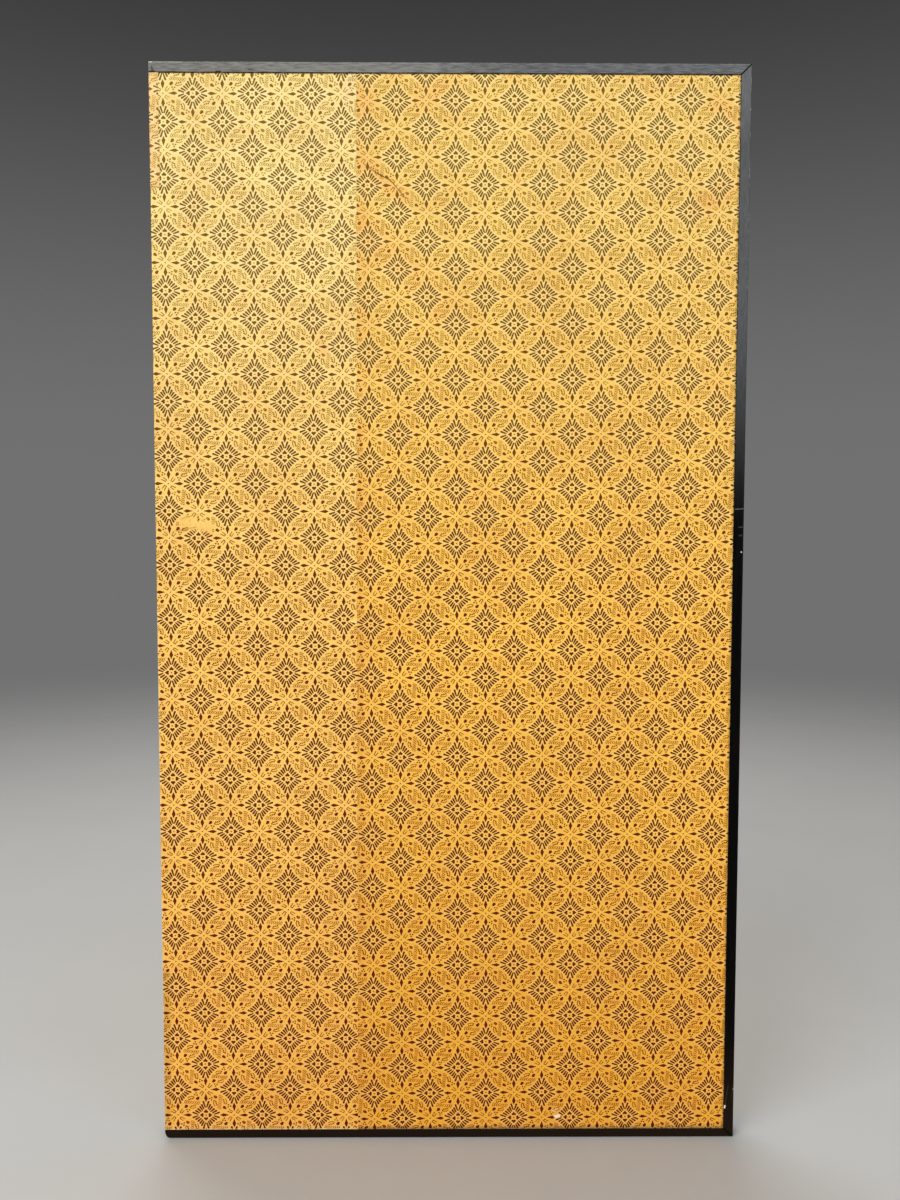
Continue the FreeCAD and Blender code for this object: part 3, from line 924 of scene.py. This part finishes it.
for number, panel in enumerate(screen["sides"]):
    for sheet, marks in (("narrow", narrowMarks), ("wide", wideMarks)):
        material = makePrintedPaper(sheet, panel, marks if panel == "left" else ())
        makeBackPaper(panel, sheet, material, 7 + 3 * number + (sheet == "wide"))
print("back papers pasted")

# Hinge bands: one strip of paper each, from one panel's back round its fold edge to the other's front

hingeBands = {
    "thickness": 0.0003,
    "backDepth": 0.01885,
    "patchDepth": 0.01915,
    "frontDepth": 0.00175,
    "middleX": -0.46465,
    "corner": 0.0003,
    "flangeEnd": -0.45015,
    "blend": 0.00015,
    "pasted": 0.00024,  # how much thinner the patch's edge is pressed
    "nearEdge": (0.0006, 0.0013, 0.003),  # places of the back flange's next points from its edge
    "creaseHalf": 0.0002,  # half the finely divided stretch at the fold
    "creaseNext": 0.0006,
    "patchLean": 0.0006,  # how much wider the patch is at its foot
    "patchSway": 0.0003,
    "torn": 0.0009,
    "tornHeight": 0.006,
    "rows": 42,
}


def bandPath(number):
    # (x, depth) from the back flange's edge, round the arris and over the fold to the front flange's edge
    back = hingeBands["patchDepth"] if number == 1 else hingeBands["backDepth"]
    front, x, end, bend = (hingeBands[label] for label in ("frontDepth", "middleX", "flangeEnd", "corner"))
    near, pressed, far = hingeBands["nearEdge"]
    half = hingeBands["creaseHalf"]
    turn = np.radians(np.linspace(0, 90, 5))
    across = np.concatenate([[end, end - near, end - pressed], np.linspace(end - far, x + bend, 6)[:-1]])
    thin = hingeBands["pasted"] * (1 - step(end - across, 0.0, pressed)) * (number == 1)
    runs = [
        (across, back - thin),
        (x + bend - bend * np.sin(turn), back - bend + bend * np.cos(turn)),
        (np.full(12, x), np.linspace(back - bend, half, 14)[1:-1]),
        (np.full(7, x), np.linspace(half, -half, 7)),
        (np.full(3, x), np.linspace(-hingeBands["creaseNext"], -front + bend, 4)[:-1]),
        (x + bend - bend * np.cos(turn), -front + bend - bend * np.sin(turn)),
        (np.linspace(x + bend, end, 7)[1:], np.full(6, -front)),
    ]
    return np.concatenate([np.stack(run, axis=-1) for run in runs])


def makeBand(number, span, material):
    # the path is carried up the band's height, and the same grid laid flat is its UV map
    fromLeft = number % 2 == 1
    side = -1.0 if fromLeft else 1.0
    path = bandPath(number)
    gone = np.concatenate([[0.0], np.cumsum(np.linalg.norm(np.diff(path, axis=0), axis=1))])
    zs = np.linspace(span[0], span[1], hingeBands["rows"])
    s, z = np.meshgrid(gone, zs)
    x = np.broadcast_to(path[:, 0], s.shape).copy()
    y = side * np.broadcast_to(path[:, 1], s.shape)
    if number == 1:
        # the patch narrows upwards a little, and its lower end is torn
        rng = np.random.default_rng(31)
        onBack = path[:, 1] > hingeBands["patchDepth"] - hingeBands["thickness"]
        sway = rng.normal(0, hingeBands["patchSway"], 30)
        sway = np.interp(zs, np.linspace(span[0], span[1], 30), sway)
        lean = hingeBands["patchLean"]
        widen = lean * (1 - (zs - span[0]) / (span[1] - span[0])) + sway - lean / 2
        flange = hingeBands["flangeEnd"] - hingeBands["middleX"]
        share = np.clip((x - hingeBands["middleX"]) / flange, 0.0, 1.0) * onBack
        x = x + widen[:, None] * share
        torn = rng.normal(0, hingeBands["torn"], len(gone)) * onBack
        z = z + torn[None, :] * (1 - step(z, span[0], span[0] + hingeBands["tornHeight"]))
    flat = np.stack([hingeBands["flangeEnd"] - s, z], axis=-1).reshape(-1, 2)
    points = np.stack([x, y, z], axis=-1).reshape(-1, 3)
    faces = gridFaces(*s.shape, flip=fromLeft)
    piece = addObject(f"hinge_band_{number}_strip", points, faces, material, uv=flat)
    thicken(piece, hingeBands["thickness"], 0.0)
    middle = (span[0] + span[1]) / 2
    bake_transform(piece)
    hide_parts(f"hinge_band_{number}_left_leaf", f"hinge_band_{number}_right_leaf")
    "printed_paper" if number == 1 else "hinge_paper"


# Plain papers: tough band paper browned by handling, and the linings

plainPapers = {
    "band": {
        "tones": [(214, 178, 118), (150, 112, 66), (240, 218, 168)],  # plain, soiled and pale
        "soiling": (0.3, 0.7),
        "roughness": 0.78,
        "specular": 0.25,
    },
    "lining": {
        "tones": [(226, 206, 164), (188, 156, 106), (240, 226, 190)],
        "soiling": (0.3, 0.75),
        "roughness": 0.8,
        "specular": 0.2,
    },
}


def makePlainPaper(kind):
    given = plainPapers[kind]
    plain, soiled, pale = given["tones"]
    material, _, place = newMaterial(f"{kind}_paper", given["roughness"], given["specular"])
    fibres = useGroup(paperFibres, Place=flatPlace(material) if kind == "band" else place)
    tone = mixed(smooth(fibres["Clouds"], *given["soiling"]), plain, soiled)
    tone = mixed(fibres["Fibres"] * 0.5, tone, pale)
    return finished(material, tone, fibres["Height"], 0.0001, 0.7)


plainBand = makePlainPaper("band")
printedBand = makePrintedPaper("patch", "left", patchMarks, depth=0.0)
for number, span in enumerate(bandSpans(), start=1):
    makeBand(number, span, printedBand if number == 1 else plainBand)
print("hinge bands folded")

# Front of each panel: gold leaf, brocade border and silk fillet

goldLeaf = {
    "leaf": 0.106,
    "overlap": 0.003,
    "tones": [(224, 186, 106), (231, 196, 118)],
    "aged": (206, 164, 92),
    "seam": (244, 212, 138),
    "worn": (150, 96, 52),
    "roughness": 0.4,
    "metallic": 0.85,
}


def makeGoldLeaf():
    # square leaves with frayed overlaps, each of its own tone, aged in clouds and rubbed to the red ground
    material, shader, place = newMaterial("gold_leaf", goldLeaf["roughness"])
    shader["Metallic"].default_value = goldLeaf["metallic"]
    x, y, z = parts(place)
    wander = noise(place, 5, 2) * 0.008 + -0.004 + noise(place, 90, 3, 0.6) * 0.0024
    cells, seams = [], []
    for axis in (x, z):
        across = (axis + wander) / goldLeaf["leaf"]
        cells.append(maths("FLOOR", across))
        seams.append(smooth(maths("FRACT", across), goldLeaf["overlap"] / goldLeaf["leaf"], 0.0))
    leafPlace = joined(*cells, maths("SIGN", y))
    leafValue = Value(addNode("ShaderNodeTexWhiteNoise", {"Vector": leafPlace}).outputs["Value"])
    seam = most(*seams)
    tone = mixed(leafValue, *goldLeaf["tones"])
    tone = mixed(smooth(noise(place, 3.2, 4, 0.6), 0.4, 0.72, 0.0, 0.55), tone, goldLeaf["aged"])
    tone = mixed(seam * 0.34, tone, goldLeaf["seam"])
    tone = mixed(smooth(noise(place, 34, 6, 0.7), 0.6, 0.74) * 0.45, tone, goldLeaf["worn"])
    wire(noise(place, 60, 4, 0.6) * 0.3 + 0.26, shader["Roughness"])
    return finished(material, tone, noise(place, 240, 5, 0.65) + seam * 0.5, 0.0002, 0.6)


cloths = {
    "ground": (58, 74, 64),
    "figure": (206, 170, 96),
    "shadow": (30, 34, 30),
    "thread": 0.00055,
    "repeat": 0.031,
    "silk": [(96, 38, 26), (128, 62, 40)],
    "silkShadow": (50, 20, 14),
    "silkThread": 0.0004,
}


def makeWeave():
    # over-and-under threads as crossed sine waves
    place, thread = openGroup("weave", Place=None, Thread=0.0006)
    x, _, z = parts(place)
    waves = [maths("SINE", axis / thread * math.pi) for axis in (x, z)]
    return closeGroup(Height=waves[0] * waves[1] * 0.5 + 0.5)


weave = makeWeave()


def makeBrocade():
    # lozenges: the folded distances along both axes add up to a constant
    material, shader, place = newMaterial("brocade", 0.55, 0.4)
    shader["Sheen Weight"].default_value = 0.25
    x, _, z = parts(place)
    thread = useGroup(weave, Place=place, Thread=cloths["thread"])["Height"]
    folded = [abs(maths("FRACT", axis / cloths["repeat"]) - 0.5) for axis in (x, z)]
    lozenge = folded[0] + folded[1]
    outline = smooth(abs(lozenge - 0.46), 0.04, 0.022)
    inner = smooth(abs(lozenge - 0.34), 0.022, 0.012)
    boss = smooth(most(*folded), 0.13, 0.115)
    eye = smooth(lozenge, 0.07, 0.05)
    figure = clamped(most(outline, inner, boss) - eye)
    worn = smooth(noise(place, 90, 5, 0.7), 0.38, 0.62)
    figure = figure * (worn * 0.5 + 0.5)
    tone = mixed(figure, cloths["ground"], cloths["figure"])
    tone = mixed(thread * 0.35, tone, cloths["shadow"], "MULTIPLY")
    return finished(material, tone, figure * 0.6 + thread, 0.00012, 0.8)


def makeFilletSilk():
    material, shader, place = newMaterial("fillet_silk", 0.45, 0.45)
    shader["Sheen Weight"].default_value = 0.3
    thread = useGroup(weave, Place=place, Thread=cloths["silkThread"])["Height"]
    tone = mixed(noise(place, 40, 4, 0.6), *cloths["silk"])
    return finished(material, mixed(thread * 0.3, tone, cloths["silkShadow"]), thread, 0.00008, 0.8)


# Timber, bamboo and iron of the hidden core

coreStuff = {
    "early": (222, 190, 142),
    "late": (176, 128, 78),
    "pores": (150, 104, 62),
    "rings": 0.0042,
    "bamboo": [(206, 178, 112), (168, 130, 70)],
    "iron": [(84, 80, 78), (110, 62, 36)],  # bright and rusty
}


def makeGrain():
    # growth rings as stretched, bent sine waves, with pores along the grain
    place, stretch, rings = openGroup("woodGrain", Place=None, Stretch=None, Rings=0.004)
    place = vectorMaths("MULTIPLY", place, stretch)
    x, y, z = parts(place)
    across = x + y + (noise(place, 12, 3, 0.5) * 0.03 + z)
    wave = maths("SINE", across * (2 * math.pi) / rings)
    return closeGroup(Rings=smooth(wave, -0.2, 1.0), Pores=noise(place, 900, 3, 0.6))


woodGrain = makeGrain()


def makeTimber(name, stretch):
    material, _, place = newMaterial(name, 0.62, 0.3)
    grain = useGroup(woodGrain, Place=place, Stretch=stretch, Rings=coreStuff["rings"])
    tone = mixed(grain["Rings"], coreStuff["early"], coreStuff["late"])
    tone = mixed(grain["Pores"] * 0.3, tone, coreStuff["pores"])
    return finished(material, tone, grain["Rings"] + grain["Pores"], 0.00015, 0.5)


def makeBamboo():
    material, _, place = newMaterial("bamboo", 0.42, 0.45)
    fibre = noise(place, 1600, 3, 0.6, (1.0, 0.06, 1.0))
    return finished(material, mixed(fibre, *coreStuff["bamboo"]), fibre, 0.00008, 0.6)


def makeIron():
    material, shader, place = newMaterial("iron", 0.55)
    shader["Metallic"].default_value = 0.75
    scale = noise(place, 500, 5, 0.7)
    rusty = smooth(scale, 0.45, 0.62)
    wire(rusty * 0.4 + 0.45, shader["Roughness"])
    return finished(material, mixed(rusty, *coreStuff["iron"]), scale, 0.0002, 0.7)


finishes = [
    (makeIron(), ["frame_nails"]),
    (makeBamboo(), ["core_pegs"]),
    (makeGoldLeaf(), ["gold_ground"]),
    (makeFilletSilk(), ["border_fillets"]),
    (makeTimber("timber_up", (1.0, 0.6, 0.05)), ["core_fold_stile", "core_outer_stile", "lattice_uprights"]),
    (
        makeTimber("timber_across", (0.05, 0.6, 1.0)),
        ["core_top_rail", "core_bottom_rail", "lattice_crossbars", "corner_plates"],
    ),
    (makePlainPaper("lining"), ["front_lining", "back_lining", "fold_edge_lining"]),
    (makeBrocade(), ["brocade_top", "brocade_bottom", "brocade_outer"]),
]


def dress(node, material):
    if not node.material_slots:
        node.data.materials.append(material)
    for slot in node.material_slots:
        slot.material = material


for material, labels in finishes:
    for panel in screen["sides"]:
        for label in labels:
            dress(nodes[f"{panel}_{label}"], material)
print("front and core dressed")

# Pale floor and soft studio light

studio = {
    "floor": [(178, 177, 174), (184, 183, 180)],
    "floorFar": (127, 127, 127),
    "floorFade": (1.4, 7.0),  # between these distances the floor thins out into the backdrop
    "rings": [0.01, 0.5, 1.0, 2.0, 4.0, 12.0, 60.0],
    "ringPoints": 96,
    "floorDrop": 0.0004,
    "sky": (0.81, 0.81, 0.81),
    "skyLevel": 0.6,
    "horizon": (113, 113, 113),
    "overhead": (50, 50, 50),
    "aimHeight": 0.85,
    "lamps": [  # place, size, watts
        ((-3.35, -3.9, 4.0), 3.7, 232.0),
        ((3.5, -3.5, 1.95), 3.2, 61.0),
    ],
    "sun": ((-1.2, 3.4, 2.9), 60.0, 1.9),  # from where, spread in degrees, strength
}


def makeFloor():
    # rings of points around the middle, closed by a small face
    turns = np.linspace(0, 2 * math.pi, studio["ringPoints"] + 1)[:-1]
    r, a = np.meshgrid(studio["rings"], turns, indexing="ij")
    points = np.stack([r * np.cos(a), r * np.sin(a), np.full_like(r, -studio["floorDrop"])], axis=-1)
    faces = gridFaces(*r.shape, closedAround=True, flip=True)
    faces.append(list(range(len(turns))))
    material, shader, place = newMaterial("floor", 1.0, 0.0)
    away = vectorMaths("LENGTH", place)
    near = mixed(noise(place, 3, 4, 0.6), *studio["floor"])
    wire(mixed(smooth(away, 0.8, 10.0), near, studio["floorFar"]), shader["Base Color"])
    wire(smooth(away, *studio["floorFade"], 1.0, 0.0), shader["Alpha"])
    addObject("studio_floor", points.reshape(-1, 3), faces, material)


def aim(data, place):
    # each light looks at the middle of the screen
    lamp = bpy.data.objects.new(data.name, data)
    bpy.context.scene.collection.objects.link(lamp)
    back = np.array(place) - np.array([0.0, 0.0, studio["aimHeight"]])
    back /= np.linalg.norm(back)
    side = np.cross([0.0, 0.0, 1.0], back)
    side /= np.linalg.norm(side)
    up = np.cross(back, side)
    lamp.matrix_world = Matrix([[side[i], up[i], back[i], place[i]] for i in range(3)] + [[0, 0, 0, 1]])


def makeLight():
    world = bpy.data.worlds.new("studio")
    bpy.context.scene.world = world
    world.use_nodes = True
    tree = world.node_tree
    tree.nodes.clear()
    soft = tree.nodes.new("ShaderNodeBackground")
    soft.inputs["Color"].default_value = (*studio["sky"], 1.0)
    soft.inputs["Strength"].default_value = studio["skyLevel"]
    # the backdrop that the camera and reflections see darkens upwards
    height = parts(Value(tree.nodes.new("ShaderNodeTexCoord").outputs["Generated"]))[2]
    tone = mixed(smooth(height, 0.06, 0.56), studio["horizon"], studio["overhead"])
    seen = addNode("ShaderNodeBackground", {"Color": tone})
    path = tree.nodes.new("ShaderNodeLightPath").outputs
    rays = (Value(path[f"Is {kind} Ray"]) for kind in ("Camera", "Glossy", "Transmission"))
    shaders = {1: Value(soft.outputs[0]), 2: Value(seen.outputs[0])}
    choice = addNode("ShaderNodeMixShader", {0: most(*rays), **shaders})
    addNode("ShaderNodeOutputWorld", {"Surface": Value(choice.outputs[0])})
    for number, (place, size, watts) in enumerate(studio["lamps"]):
        data = bpy.data.lights.new(f"lamp{number}", "AREA")
        data.size = size
        data.energy = watts
        aim(data, place)
    place, spread, strength = studio["sun"]
    data = bpy.data.lights.new("sun", "SUN")
    data.angle = math.radians(spread)
    data.energy = strength
    aim(data, place)


makeFloor()
makeLight()
print("studio lit")
